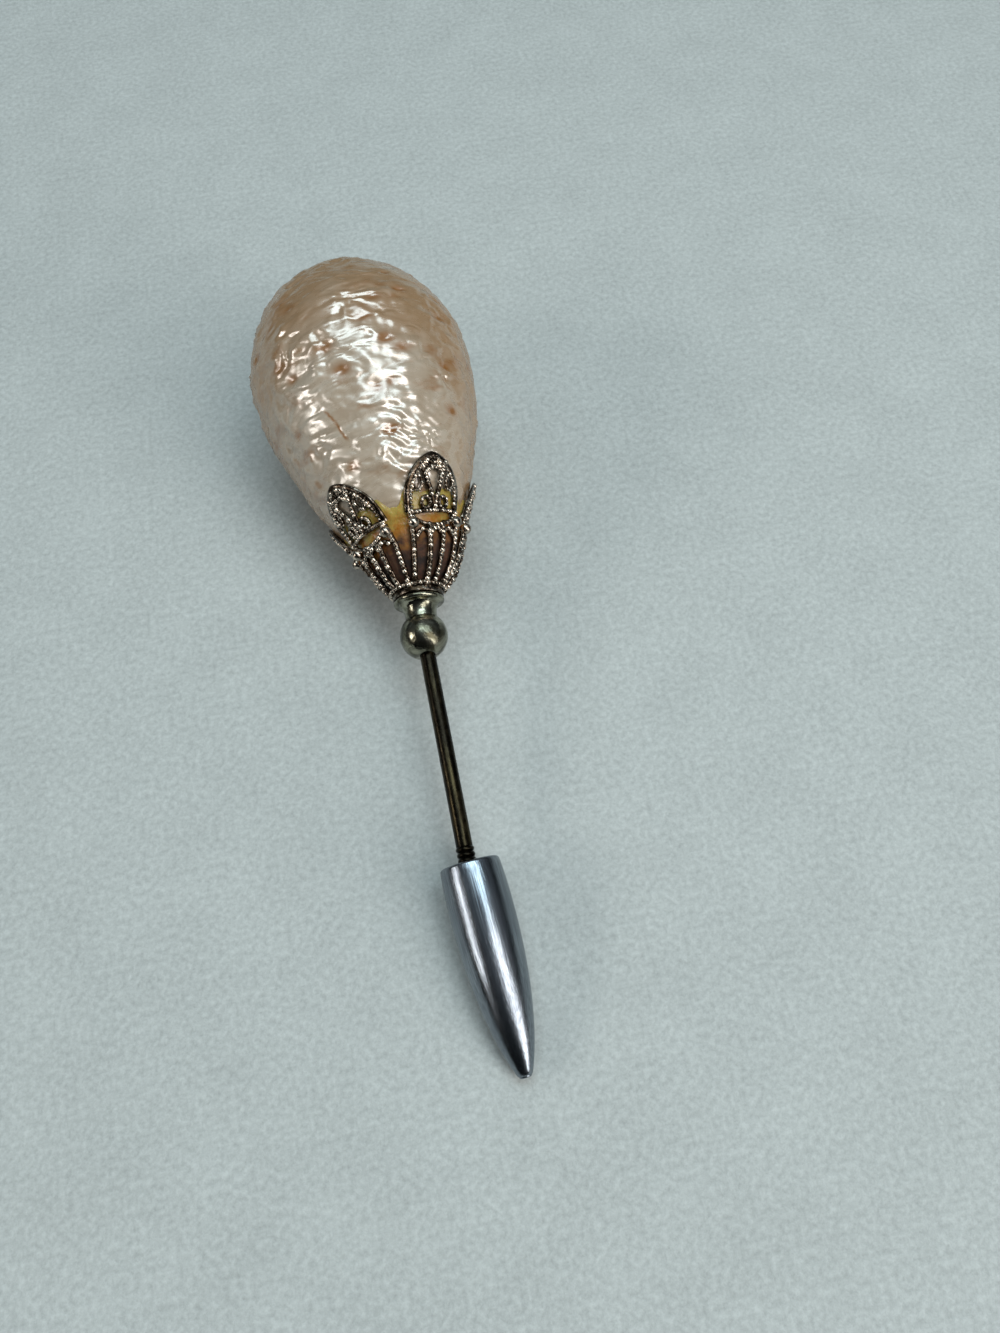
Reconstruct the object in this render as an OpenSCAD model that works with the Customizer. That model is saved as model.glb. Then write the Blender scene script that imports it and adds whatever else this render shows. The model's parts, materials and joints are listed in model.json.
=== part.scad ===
// Stick pin: a baroque imitation pearl in a pierced silver cap on a turned finial and a dark stem,
// with a bullet-shaped guard over the point. It lies with the guard toward -Y and the pearl toward
// +Y, resting on the pearl's belly and the guard, with the origin under the middle of its box.

/* [Pearl] */
// Largest diameter of the pearl
pearl_d = 17.7; // [17:0.1:19]
// Height of the pearl above its widest place
pearl_top_h = 10; // [8:0.1:13]
// Depth of the pearl below its widest place
pearl_low_h = 18; // [16.5:0.1:18.5]
// How far the pearl leans from the stem, in degrees
pearl_lean = 5.2; // [0:0.1:6]
// Height of the broad swellings and hollows on the pearl
pearl_relief = 0.11; // [0:0.01:0.15]
// Depth of the flat on the pearl's belly where it lies
belly_flat = 0.25; // [0.04:0.01:0.3]
// Depth of the pearl's foot below the cap's mouth
pearl_seat = 3.65; // [3.2:0.05:3.7]

/* [Cap] */
// Number of petals
petals = 5; // [4:1:5]
// Length of the bell below the petals
bell_h = 4.5; // [4.2:0.1:5]
// Diameter of the collar at the bottom of the bell
collar_d = 3.9; // [3.4:0.05:4.2]
// Thickness of the collar
collar_t = 0.5; // [0.35:0.05:0.7]
// Height of a petal above the bell
petal_h = 4; // [3.4:0.1:4.6]
// Width of a petal
petal_w = 4.9; // [4.3:0.1:5]
// Height of the wires
wire_h = 0.42; // [0.36:0.02:0.5]
// Width of the band round a petal
rim_w = 0.7; // [0.46:0.02:0.8]
// Width of the fine wires
fine_w = 0.42; // [0.3:0.02:0.46]
// Diameter of the balls beside each petal
grain_d = 0.92; // [0.6:0.02:1.1]

/* [Finial] */
// Diameter of the finial's ball
ball_d = 3.64; // [3.2:0.02:4]
// Diameter of the flat under the finial's ball
foot_d = 1.9; // [1.4:0.05:2.6]
// Diameter of the finial's neck
neck_d = 2.4; // [2:0.05:2.8]
// Diameter of the finial's flange
flange_d = 3.88; // [3.3:0.02:4.2]
// Thickness of the finial's flange
flange_t = 0.42; // [0.3:0.02:0.5]
// Height from the ball's centre to the top of the flange
finial_h = 2.95; // [2.8:0.05:3.6]
// How far the finial and cap lean from the stem, in degrees
fitting_lean = 2.4; // [0:0.1:3]

/* [Stem] */
// Diameter of the stem where it shows
stem_d = 1.2; // [1.18:0.01:1.24]
// Length of stem between the guard and the finial
stem_shown = 15.7; // [8:0.1:40]
// Diameter of the stem inside the finial and the pearl
tail_d = 0.9; // [0.8:0.01:1]
// Length of the stem inside the finial and the pearl
tail_h = 14; // [10:0.5:18]
// Length of stem inside the guard
point_h = 10.5; // [6:0.1:11]
// Length of the taper to the point
taper_h = 3; // [2:0.1:5]
// Number of grip rings
grip_rings = 6; // [1:1:8]
// Distance from one grip ring to the next
grip_pitch = 0.4; // [0.3:0.02:0.45]
// How far the grip rings stand out
grip_proud = 0.07; // [0.02:0.01:0.08]

/* [Guard] */
// Largest diameter of the guard
guard_d = 4.58; // [4.4:0.02:6]
// Length of the guard
guard_len = 14.6; // [13.5:0.1:20]
// How much narrower the guard is at its mouth than at its widest place
mouth_in = 0.14; // [0.02:0.01:0.3]
// Distance from the mouth to the widest place
bulge_at = 3; // [2:0.1:4]
// Diameter of the flat at the guard's tip
guard_tip_d = 0.9; // [0.5:0.05:1.4]
// Radius of the edge round the guard's mouth
mouth_edge = 0.2; // [0.1:0.02:0.3]
// Thickness of the guard's wall
guard_wall = 0.35; // [0.25:0.01:0.38]
// How far the guard leans from the stem, in degrees
guard_lean = 4; // [0:0.1:4.5]
// How far the middle of the guard's mouth sits off the stem's axis
guard_off = 0.1; // [0:0.01:0.14]
// Diameter of the hole through the insert
insert_bore_d = 1.46; // [1.44:0.01:1.6]
// Length of the insert
insert_h = 2.3; // [1.5:0.1:2.6]
// Depth of the insert's face below the guard's mouth
insert_in = 0.12; // [0:0.02:0.3]

/* [Fit] */
// Gap between pieces that are glued or fitted together
seat_gap = 0.03; // [0.02:0.01:0.05]
// Thickness of the cement where it shows on the pearl
cement_t = 0.1; // [0.08:0.01:0.14]
// Height of the cement on the pearl above the bell
cement_h = 1.1; // [0.6:0.1:1.4]

/* [Hidden] */
$fn = 96;
whole = 360;
half_turn = 180;
quarter = 90;

// Heights above the ball's centre, and the ball's own place above the guard's mouth
foot_h = sqrt(pow(ball_d / 2, 2) - pow(foot_d / 2, 2));
ball_at = stem_shown + foot_h;
bore_d = tail_d + 2 * seat_gap;
collar_at = finial_h + seat_gap;
bell_at = collar_at + collar_t;
mouth_at = bell_at + bell_h;

// Shape of the pearl, as heights above the cap's mouth
pearl_mid = pearl_low_h - pearl_seat;
pearl_top = pearl_mid + pearl_top_h;
top_round = 2.05;
low_round = 1.5;
low_taper = 0.65;
function below(h) = max(0, min(1, (pearl_mid - h) / pearl_low_h));
function above(h) = max(0, min(1, (h - pearl_mid) / pearl_top_h));
function egg_r(h) = pearl_d / 2 * (h < pearl_mid
    ? pow(1 - pow(below(h), low_round), low_taper)
    : pow(1 - pow(above(h), top_round), 1 / top_round));

// Relief of the pearl, which fades out under the cap
// Each wave: times round, times along, start in degrees, share of the relief
WAVES = [[3, 2, 40, 0.3], [5, 3, 130, 0.25], [8, 5, 15, 0.25], [11, 8, 75, 0.2]];
fade_from = cement_h + cement_t;
fade_over = 5;
function sum(v, i = 0) = i == len(v) ? 0 : v[i] + sum(v, i + 1);
function fade(h) = max(0, min(1, (h - fade_from) / fade_over));
function wave(w, az, h) = w[3] * sin(w[0] * az + w[2]) * sin(whole * w[1] * h / pearl_top + w[2]);
function relief(az, h) = pearl_relief * fade(h) * sum([for (w = WAVES) wave(w, az, h)]);
function pearl_r(az, h) = egg_r(h) + relief(az, h);

// Frames that lean about Z: a positive lean takes +Y toward +X
function turned(p, lean) = [
    p.x * cos(lean) + p.y * sin(lean),
    p.y * cos(lean) - p.x * sin(lean),
    p.z
];
function outward(az) = [sin(az), 0, cos(az)];
function on_fitting(h, out) = [0, ball_at, 0] + turned([0, h, 0] + out, fitting_lean);
mouth_point = on_fitting(mouth_at, [0, 0, 0]);
function on_pearl(h, out) = mouth_point + turned([0, h, 0] + out, -pearl_lean);

// Skin of the cap: a bell below its mouth, and over the pearl above it
// A lift is measured square to the skin, and is stretched where the skin slopes
wire_r = wire_h / 2;
petal_lift = cement_t + 2 * seat_gap + wire_h;
slope_step = 0.3;
bell_curve = 0.58;
function egg_slope(h) = (egg_r(h + slope_step) - egg_r(h - slope_step)) / (2 * slope_step);
mouth_r = egg_r(0) + petal_lift * norm([1, egg_slope(0)]);
function bell_r(z) = collar_d / 2 + (mouth_r - collar_d / 2) * pow(max(0, z) / bell_h, bell_curve);
function bell_slope(z) =
    (mouth_r - collar_d / 2) * bell_curve / bell_h * pow(max(slope_step, z) / bell_h, bell_curve - 1);
function slope(h) = h < 0 ? bell_slope(bell_h + h) : egg_slope(h);
function stretch(h) = norm([1, slope(h)]);
function skin_r(h) = h < 0 ? bell_r(bell_h + h) : egg_r(h) + petal_lift * stretch(h);

// The bell's sections turn from the finial's axis to the pearl's on the way up
turned_at = -bell_h / 4;
function turn_share(h) = max(0, min(1, (h + bell_h) / (bell_h + turned_at)));
function on_cap(h, out) = let (q = turn_share(h))
    on_fitting(mouth_at + h, out) * (1 - q) + on_pearl(h, out) * q;
function skin_normal(az, h) = let (q = turn_share(h), out = outward(az) - [0, slope(h), 0])
    turned(out, fitting_lean) * (1 - q) + turned(out, -pearl_lean) * q;
function skin(az, h, sink) = on_cap(h, (skin_r(h) - sink * stretch(h)) * outward(az));

// Outline of the guard, by depth from its mouth
guard_taper = 0.77;
guard_round = 2.25;
tip_share = pow(1 - pow(guard_tip_d / guard_d, 1 / guard_taper), 1 / guard_round);
guard_run = (guard_len - bulge_at) / tip_share;
function guard_r(d) = d < bulge_at
    ? guard_d / 2 - mouth_in * pow((bulge_at - d) / bulge_at, 2)
    : guard_d / 2 * pow(1 - pow((d - bulge_at) / guard_run, guard_round), guard_taper);

// Slope at which the pearl's belly lies on a flat surface and the guard just clears it
outline_step = 0.25;
steepest = 30;
halvings = 24;
guard_clear = 0.02;
pearl_heights = [0 : outline_step : pearl_top];
guard_depths = [0 : outline_step : guard_len];
pearl_outline = [for (h = pearl_heights) [on_pearl(h, [0, 0, 0]).y, pearl_r(half_turn, h)]];
guard_outline = [for (d = guard_depths) [-d * cos(guard_lean), guard_r(d)]];
function reach(outline, slope) = min([for (p = outline) p.x * sin(slope) - p.y * cos(slope)]);
function rest_slope(low, high, n) = let (mid = (low + high) / 2)
    n == 0 ? mid
    : reach(pearl_outline, mid) + belly_flat + guard_clear > reach(guard_outline, mid)
    ? rest_slope(low, mid, n - 1)
    : rest_slope(mid, high, n - 1);
rest_tilt = rest_slope(0, steepest, halvings);
rest_lift = -reach(pearl_outline, rest_tilt) - belly_flat;
rest_up = [0, sin(rest_tilt), cos(rest_tilt)];
far_y = max([for (p = pearl_outline) p.x * cos(rest_tilt) + p.y * sin(rest_tilt)]);
near_y = min([for (p = guard_outline) p.x * cos(rest_tilt) - p.y * sin(rest_tilt)]);
right_x = max([for (h = pearl_heights) on_pearl(h, [pearl_r(quarter, h), 0, 0]).x]);
left_x = min([for (h = pearl_heights) on_pearl(h, [-pearl_r(-quarter, h), 0, 0]).x]);

// Lays down children that are made along the stem's axis
module lying() {
    translate([-(right_x + left_x) / 2, -(far_y + near_y) / 2, rest_lift])
        rotate([rest_tilt, 0, 0])
            children();
}

// Frames for shapes that are turned about Z
module along_stem(from = 0) {
    translate([0, from, 0])
        rotate([-quarter, 0, 0])
            children();
}

module fitting_frame() {
    translate([0, ball_at, 0])
        rotate([0, 0, -fitting_lean])
            rotate([-quarter, 0, 0])
                children();
}

module pearl_frame() {
    translate(mouth_point)
        rotate([0, 0, pearl_lean])
            rotate([-quarter, 0, 0])
                children();
}

module guard_frame() {
    translate([guard_off, 0, 0])
        rotate([0, 0, guard_lean])
            rotate([quarter, 0, 0])
                children();
}

// A ring of points round a wire, at a point with its direction and a normal
wire_sides = 5;
function unit(v) = v / norm(v);
function wire_ring(point, direction, normal, width, height) =
    let (b = unit(cross(normal, direction)), m = cross(direction, b))
    [for (k = [0 : wire_sides - 1]) let (a = quarter + whole * k / wire_sides)
        point + width / 2 * cos(a) * b + height / 2 * sin(a) * m];

// A wire along a path, whose rows are points and normals
module wire(path, width, height, closed = false) {
    count = len(path);
    last = closed ? count - 1 : count - 2;
    function place(i) = closed ? (i + count) % count : max(0, min(count - 1, i));
    function along(i) = unit(path[place(i + 1)][0] - path[place(i - 1)][0]);
    rings = [for (i = [0 : count - 1]) each wire_ring(path[i][0], along(i), path[i][1], width, height)];
    walls = [for (i = [0 : last], k = [0 : wire_sides - 1])
        let (j = (i + 1) % count, l = (k + 1) % wire_sides)
        each [
            [i * wire_sides + k, j * wire_sides + k, j * wire_sides + l],
            [i * wire_sides + k, j * wire_sides + l, i * wire_sides + l]
        ]];
    ends = closed ? [] : [
        [for (k = [0 : wire_sides - 1]) k],
        [for (k = [wire_sides - 1 : -1 : 0]) (count - 1) * wire_sides + k]
    ];
    polyhedron(points = rings, faces = concat(walls, ends));
}

// A stretch of wire on the cap's skin, from rows of azimuth and height
function on_skin(az, h) = [skin(az, h, wire_r), skin_normal(az, h)];
// The same from a width across, in millimetres, and a height
function across(az, u, h) = on_skin(az + u / (skin_r(h) - wire_r) * half_turn / PI, h);
function shares(steps) = [for (i = [0 : steps]) i / steps];

// Sizes of the cap's pattern that follow from the petal and the bell
petal_first = -45;
// How far each petal is bent round from its even place, in degrees
PETAL_BENDS = [-2.5, 3, 4, 2, -1];
frame_half = 122.5 / petals;
leaf_half = frame_half / 3;
bead_sides = 6;
arch_high = wire_h * 0.95;
upright_high = wire_h * 0.862;

// Petal: edge, fork, the arch across the fork and two curls
widest_at = petal_h * 0.32;
foot_half = frame_half / half_turn * PI * mouth_r;
petal_half = petal_w / 2 - rim_w / 2;
tip_h = petal_h - rim_w / 2;
tip_round = 1.8;
tip_taper = 0.65;
function petal_edge(h) = h < widest_at
    ? petal_half - (petal_half - foot_half) * pow((widest_at - h) / widest_at, 2)
    : petal_half * pow(max(0, 1 - pow((h - widest_at) / (tip_h - widest_at), tip_round)), tip_taper);
bar_h = wire_r / 2;
fork_top = petal_h * 0.76;
fork_half = petal_half * 0.6;
fork_bend = 1.3;
brow_at = fork_top * 0.802;
brow_half = fork_half * 0.62;
brow_rise = fork_half * 0.25;
curl_r = petal_half * 0.14;
curl_side = petal_half * 0.351;
curl_h = curl_r + bar_h + fine_w / 4;
curl_w = fine_w * 0.8;

// Bell: crescents under the petals, balls beside them, and leaves between upright wires
crescent_half = frame_half * 0.966;
crescent_at = bar_h / 2;
crescent_h = bell_h * 0.205;
leaf_top = -bell_h * 0.336;
leaf_arch = bell_h * 0.086;
arch_half = frame_half * 0.942;
leaf_bend = 1.5;
foot_share = 0.9;
bell_foot = bell_h * 0.97;
grain_h = -bell_h * 0.154;
grain_out = grain_d / 4;
grain_sides = 8;

module petal_rim(az) {
    steps = 6;
    bars = 5;
    side = [for (q = shares(steps)) bar_h + (tip_h - bar_h) * sin(quarter * q)];
    right = [for (h = side) across(az, petal_edge(h), h)];
    left = [for (i = [steps - 1 : -1 : 0]) across(az, -petal_edge(side[i]), side[i])];
    foot = [for (i = [1 : bars - 1]) across(az, petal_edge(bar_h) * (2 * i / bars - 1), bar_h)];
    wire(concat(right, left, foot), rim_w, wire_h, closed = true);
}

module petal_fork(az) {
    steps = 4;
    function tine(side, q) = across(az, side * fork_half * pow(q, fork_bend), bar_h + (fork_top - bar_h) * q);
    wire(concat(
        [for (i = [steps : -1 : 0]) tine(-1, i / steps)],
        [for (i = [1 : steps]) tine(1, i / steps)]), fine_w, upright_high);
    wire([for (q = shares(3)) across(az, brow_half * (2 * q - 1), brow_at + brow_rise * sin(half_turn * q))],
        fine_w, arch_high);
    translate(skin(az, tip_h - rim_w, wire_r))
        sphere(r = wire_r, $fn = bead_sides);
}

module petal_curls(az) {
    turns = 6;
    for (side = [-1, 1])
        wire([for (i = [0 : turns - 1]) let (a = whole * i / turns)
            across(az, side * curl_side + curl_r * cos(a), curl_h + curl_r * sin(a))],
            curl_w, arch_high, closed = true);
}

module crescent(az) {
    wire([for (q = shares(5)) let (a = half_turn * q)
        on_skin(az - crescent_half * cos(a), crescent_at - (crescent_h + crescent_at) * sin(a))],
        fine_w, arch_high);
}

// The narrow openings of the bell, between upright wires and under arches
module leaves(az) {
    for (offset = [-3, -1, 1, 3]) {
        top = abs(offset) == 3 ? -bar_h : leaf_top + leaf_arch * 2;
        wire([for (q = shares(4))
            on_skin(az + offset * leaf_half * (foot_share + (1 - foot_share) * q),
                top - (top + bell_foot) * pow(1 - q, leaf_bend))], fine_w, upright_high);
    }
    wire([for (q = shares(11))
        on_skin(az + arch_half * (2 * q - 1), leaf_top + leaf_arch * abs(sin(3 * half_turn * q)))],
        fine_w, arch_high);
}

module grains(az) {
    for (side = [-1, 1])
        hull() {
            translate(skin(az + side * frame_half, grain_h, wire_r - grain_out))
                sphere(d = grain_d, $fn = grain_sides);
            translate(skin(az + side * frame_half, grain_h, wire_r))
                sphere(r = wire_r, $fn = bead_sides);
        }
}

// Pearl, drilled from below for the stem, with no point below the surface that it lies on
pearl_sides = 64;
pearl_rings = 36;
function settled(p) = p - min(0, rest_lift + p * rest_up) * rest_up;
module pearl_form() {
    heights = [for (i = [1 : pearl_rings - 1]) let (c = cos(half_turn * i / pearl_rings))
        pearl_mid - c * (c > 0 ? pearl_low_h : pearl_top_h)];
    rings = [for (h = heights, k = [0 : pearl_sides - 1]) let (az = whole * (k + 0.5) / pearl_sides)
        settled(on_pearl(h, pearl_r(az, h) * outward(az)))];
    walls = [for (i = [0 : len(heights) - 2], k = [0 : pearl_sides - 1])
        let (a = i * pearl_sides, b = a + pearl_sides, l = (k + 1) % pearl_sides)
        each [[a + k, b + k, b + l], [a + k, b + l, a + l]]];
    bottom = len(rings);
    high = bottom - pearl_sides;
    ends = [for (k = [0 : pearl_sides - 1]) let (l = (k + 1) % pearl_sides)
        each [[bottom, k, l], [bottom + 1, high + l, high + k]]];
    tips = [on_pearl(-pearl_seat, [0, 0, 0]), on_pearl(pearl_top, [0, 0, 0])];
    polyhedron(points = concat(rings, tips), faces = concat(walls, ends));
}

tail_to = stem_shown + tail_h;
module pearl() {
    color([0.86, 0.79, 0.72])
        lying()
            difference() {
                pearl_form();
                along_stem(ball_at)
                    cylinder(d = bore_d, h = tail_to + seat_gap - ball_at);
            }
}

// Cement: fills the cap round the pearl and shows as a thin skirt between the petals
cement_sides = 36;
module pearl_seat_form(gap) {
    top = cement_h + cement_t;
    heights = [for (q = shares(8)) -pearl_seat + (pearl_seat + top) * pow(q, 2)];
    rotate_extrude($fn = cement_sides)
        polygon(concat([for (h = heights) [egg_r(h) + gap, h]], [[0, top], [0, -pearl_seat - gap]]));
}

module cement_form() {
    foot = seat_gap - bell_h;
    foot_ease = wire_r / 2;
    function cement_r(h) =
        skin_r(h) - (wire_h + 2 * seat_gap) * stretch(h) - foot_ease * (1 - turn_share(h));
    heights = [for (q = shares(8)) foot + (cement_h - foot) * q];
    rings = [for (h = heights, k = [0 : cement_sides - 1])
        on_cap(h, cement_r(h) * outward(whole * k / cement_sides))];
    walls = [for (i = [0 : len(heights) - 2], k = [0 : cement_sides - 1])
        let (a = i * cement_sides, b = a + cement_sides, l = (k + 1) % cement_sides)
        each [[a + k, b + k, b + l], [a + k, b + l, a + l]]];
    high = len(rings) - cement_sides;
    ends = [[for (k = [cement_sides - 1 : -1 : 0]) k], [for (k = [0 : cement_sides - 1]) high + k]];
    polyhedron(points = rings, faces = concat(walls, ends));
}

module cement() {
    color([0.72, 0.52, 0.2])
        lying()
            difference() {
                cement_form();
                pearl_frame()
                    pearl_seat_form(seat_gap);
                along_stem(ball_at)
                    cylinder(d = bore_d, h = tail_h, $fn = cement_sides);
            }
}

// Cap: petals, grains and leaves of wire round a collar
collar_sides = 24;
module filigree_cap() {
    color([0.62, 0.58, 0.55])
        lying()
            difference() {
                union() {
                    for (k = [0 : petals - 1]) {
                        az = petal_first + k * whole / petals + PETAL_BENDS[k];
                        petal_rim(az);
                        petal_fork(az);
                        petal_curls(az);
                        crescent(az);
                        leaves(az);
                        grains(az);
                    }
                    fitting_frame()
                        rotate_extrude($fn = collar_sides)
                            union() {
                                translate([0, collar_at])
                                    square([collar_d / 2, collar_t]);
                                translate([collar_d / 2, bell_at])
                                    circle(d = wire_h, $fn = bead_sides);
                            }
                }
                along_stem(ball_at)
                    cylinder(d = bore_d, h = tail_h, $fn = collar_sides);
            }
}

// Finial: a ball, a neck and a flange
module finial() {
    neck_at = sqrt(pow(ball_d / 2, 2) - pow(neck_d / 2, 2)) + flange_t / 2;
    under = finial_h - flange_t;
    ball_from = -asin(foot_h / (ball_d / 2));
    ball_to = acos(neck_d / ball_d);
    edge_r = flange_t / 2;
    color([0.45, 0.44, 0.36])
        lying()
            difference() {
                fitting_frame()
                    rotate_extrude()
                        polygon(concat(
                            [[0, -foot_h]],
                            [for (q = shares(16)) let (a = ball_from + (ball_to - ball_from) * q)
                                ball_d / 2 * [cos(a), sin(a)]],
                            [for (q = shares(8)) let (a = quarter * q)
                                [flange_d / 2 - edge_r - (flange_d / 2 - edge_r - neck_d / 2) * cos(a),
                                    neck_at + (under - neck_at) * sin(a)]],
                            [for (q = shares(6)) let (a = half_turn * q - quarter)
                                [flange_d / 2 - edge_r + edge_r * cos(a), under + edge_r + edge_r * sin(a)]],
                            [[0, finial_h]]));
                along_stem()
                    cylinder(d = bore_d, h = ball_at * 2);
            }
}

// Stem: a point, grip rings, the stretch that shows and a thinner tail, which narrows upward
module pin_stem() {
    rings_out = 3;
    tail_share = 0.9;
    point_share = 0.8;
    grip_from = -grip_pitch * (grip_rings - rings_out);
    grip_to = grip_from + grip_pitch * grip_rings;
    ring_steps = 4;
    groove_r = (stem_d - grip_proud) / 2;
    ring_high = stem_d / 2 + grip_proud - groove_r;
    rings = [for (i = [0 : grip_rings * ring_steps])
        [groove_r + ring_high * abs(sin(half_turn * i / ring_steps)), grip_from + grip_pitch * i / ring_steps]];
    shoulder = stem_shown - seat_gap;
    color([0.2, 0.18, 0.13])
        lying()
            along_stem()
                rotate_extrude()
                    polygon(concat(
                        [[0, -point_h], [tail_d / 2 * point_share, taper_h - point_h],
                            [tail_d / 2, grip_from - grip_pitch]],
                        rings,
                        [[stem_d / 2, grip_to], [stem_d / 2, shoulder], [tail_d / 2, shoulder],
                            [tail_d / 2 * tail_share, tail_to], [0, tail_to]]));
}

// Guard: a hollow bullet with its mouth toward the pearl
module guard() {
    tip_solid = guard_wall * 4;
    hollow_to = guard_len - tip_solid;
    color([0.75, 0.77, 0.79])
        lying()
            guard_frame()
                difference() {
                    rotate_extrude()
                        polygon(concat(
                            [[0, 0]],
                            [for (q = shares(4)) let (a = quarter * q)
                                [guard_r(0) - mouth_edge + mouth_edge * sin(a), mouth_edge - mouth_edge * cos(a)]],
                            [for (q = shares(24)) let (d = mouth_edge * 2 + (guard_len - mouth_edge * 2) * q)
                                [guard_r(d), d]],
                            [[0, guard_len]]));
                    rotate_extrude()
                        polygon(concat(
                            [for (q = shares(16)) let (d = bulge_at + (hollow_to - bulge_at) * q)
                                [guard_r(d) - guard_wall, d]],
                            [[0, hollow_to], [0, bulge_at]]));
                    translate([0, 0, -guard_wall])
                        cylinder(r = insert_r + seat_gap, h = bulge_at + guard_wall * 2);
                }
}

// Insert: a plug in the guard's mouth, drilled along the stem
insert_r = guard_d / 2 - mouth_in - guard_wall - mouth_edge / 4;
module guard_insert() {
    color([0.12, 0.12, 0.12])
        lying()
            difference() {
                guard_frame()
                    translate([0, 0, insert_in])
                        cylinder(r = insert_r, h = insert_h);
                along_stem(-guard_len)
                    cylinder(d = insert_bore_d, h = guard_len * 2);
            }
}

pearl();
cement();
filigree_cap();
finial();
pin_stem();
guard();
guard_insert();
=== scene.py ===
import json
import math
import random

import bmesh
import bpy
from bpy.props import FloatProperty, FloatVectorProperty, IntProperty, PointerProperty
from mathutils import Matrix, Vector, noise


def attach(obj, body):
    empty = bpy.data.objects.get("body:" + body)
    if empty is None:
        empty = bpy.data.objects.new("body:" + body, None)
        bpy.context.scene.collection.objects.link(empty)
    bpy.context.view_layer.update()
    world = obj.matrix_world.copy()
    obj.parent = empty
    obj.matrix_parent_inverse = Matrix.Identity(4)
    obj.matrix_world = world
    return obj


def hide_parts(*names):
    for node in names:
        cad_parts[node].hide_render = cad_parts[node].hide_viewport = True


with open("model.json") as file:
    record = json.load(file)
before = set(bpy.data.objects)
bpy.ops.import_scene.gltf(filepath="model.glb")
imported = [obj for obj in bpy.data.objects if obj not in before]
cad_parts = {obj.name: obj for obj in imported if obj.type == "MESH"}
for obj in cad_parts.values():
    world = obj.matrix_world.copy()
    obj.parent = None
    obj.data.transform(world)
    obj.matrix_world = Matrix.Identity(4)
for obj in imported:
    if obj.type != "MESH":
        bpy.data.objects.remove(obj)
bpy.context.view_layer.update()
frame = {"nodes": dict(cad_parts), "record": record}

bl_info = {
    "name": "Stick Pin",
    "version": (1, 0, 0),
    "blender": (4, 5, 0),
    "location": "View3D > Sidebar > Stick Pin",
    "description": "Dresses the parts of a stick pin with a baroque pearl",
    "category": "Add Mesh",
}

MM = 0.001
WHOLE = 2 * math.pi

# Places along the pin, from the stem's mount
STEM_MOUNT = frame["record"]["mounts"][0]
MOUNT_MIDDLE = 8.435 * MM
BALL_AT = 17.2524 * MM
MOUTH_ABOVE_BALL = 7.98 * MM
FITTING_LEAN = 2.4
PEARL_LEAN = -5.2
GUARD_OFF = 0.1 * MM
GUARD_LEAN = 4.0


def leaning(place, side, along, degrees):
    """A frame moved within another and leaned to the side"""
    return place @ Matrix.Translation((side, 0, along)) @ Matrix.Rotation(math.radians(degrees), 4, "Y")


def stem_place():
    """The stem's frame: Z runs to the pearl and Y down, from the guard's mouth"""
    along = -Vector(STEM_MOUNT["axis"]).normalized()
    side = Vector((1, 0, 0))
    turn = Matrix((side, along.cross(side), along)).transposed().to_4x4()
    return Matrix.Translation(Vector(STEM_MOUNT["pos_m"]) - along * MOUNT_MIDDLE) @ turn


STEM = stem_place()
FITTING = leaning(STEM, 0, BALL_AT, FITTING_LEAN)
MOUTH = leaning(FITTING, 0, MOUTH_ABOVE_BALL, 0)
PEARL = leaning(MOUTH, 0, 0, PEARL_LEAN - FITTING_LEAN)
GUARD = leaning(STEM, GUARD_OFF, 0, 180 - GUARD_LEAN)


def around(azimuth, radius, height):
    """A point by degrees round from the upper side, distance from the axis and height"""
    turn = math.radians(azimuth)
    return Vector((radius * math.sin(turn), -radius * math.cos(turn), height))


def shares(steps):
    return [step / steps for step in range(steps + 1)]


def between(low, high, share):
    return low + (high - low) * share


def clamp(value, low=0.0, high=1.0):
    return max(low, min(high, value))


def eased(low, high, value):
    """A share from 0 to 1 that starts and ends softly"""
    share = clamp((value - low) / (high - low))
    return share * share * (3 - 2 * share)


def distance(name, description, default):
    return FloatProperty(name=name, description=description, default=default, unit="LENGTH", subtype="DISTANCE")


def colour(name, description, default):
    return FloatVectorProperty(
        name=name, description=description, default=default, subtype="COLOR", size=3, min=0, max=1)


class PearlSettings(bpy.types.PropertyGroup):
    width: distance("Width", "Largest diameter of the pearl", 17.7 * MM)
    above: distance("Height above", "From the widest place to the far end", 10.0 * MM)
    below: distance("Height below", "From the widest place to the end in the cap", 18.0 * MM)
    seat: distance("Seat", "How deep the pearl sits in the cap", 3.65 * MM)
    bore: distance("Hole", "Diameter of the hole for the stem", 0.96 * MM)
    lumps: distance("Lumps", "Height of the broad lumps", 0.12 * MM)
    dimples: distance("Dimples", "Depth of the dimples", 0.2 * MM)
    creases: distance("Creases", "Height of the fine creases", 0.06 * MM)
    ridges: distance("Ridges", "Height of the fan of ridges near the cap", 0.065 * MM)
    # The coat colour is painted in the patches of painted sheen and tan outside them, each with random patches of the
    # other
    coat: colour("Coat", "Colour of the pearly coat", (0.44, 0.358, 0.268))
    tan: colour("Tan", "Colour of the thinner coat", (0.32, 0.2, 0.105))
    amber: colour("Amber", "Colour of the stains in the pits", (0.26, 0.11, 0.025))


class CementSettings(bpy.types.PropertyGroup):
    thickness: distance("Thickness", "Thickness of the cement on the pearl", 0.1 * MM)
    height: distance("Height", "Height of the cement above the bell", 1.0 * MM)
    gap: distance("Gap", "Gap between the cement and its neighbours", 0.03 * MM)
    top: colour("Top", "Colour of the cement at its upper edge", (0.36, 0.25, 0.06))
    amber: colour("Amber", "Colour of the cement just below", (0.30, 0.12, 0.015))
    # Depth is painted shade: the cement deep in the bell, under the wires, is painted near black
    depth: colour("Depth", "Colour of the cement deep in the cap", (0.07, 0.026, 0.011))


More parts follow.
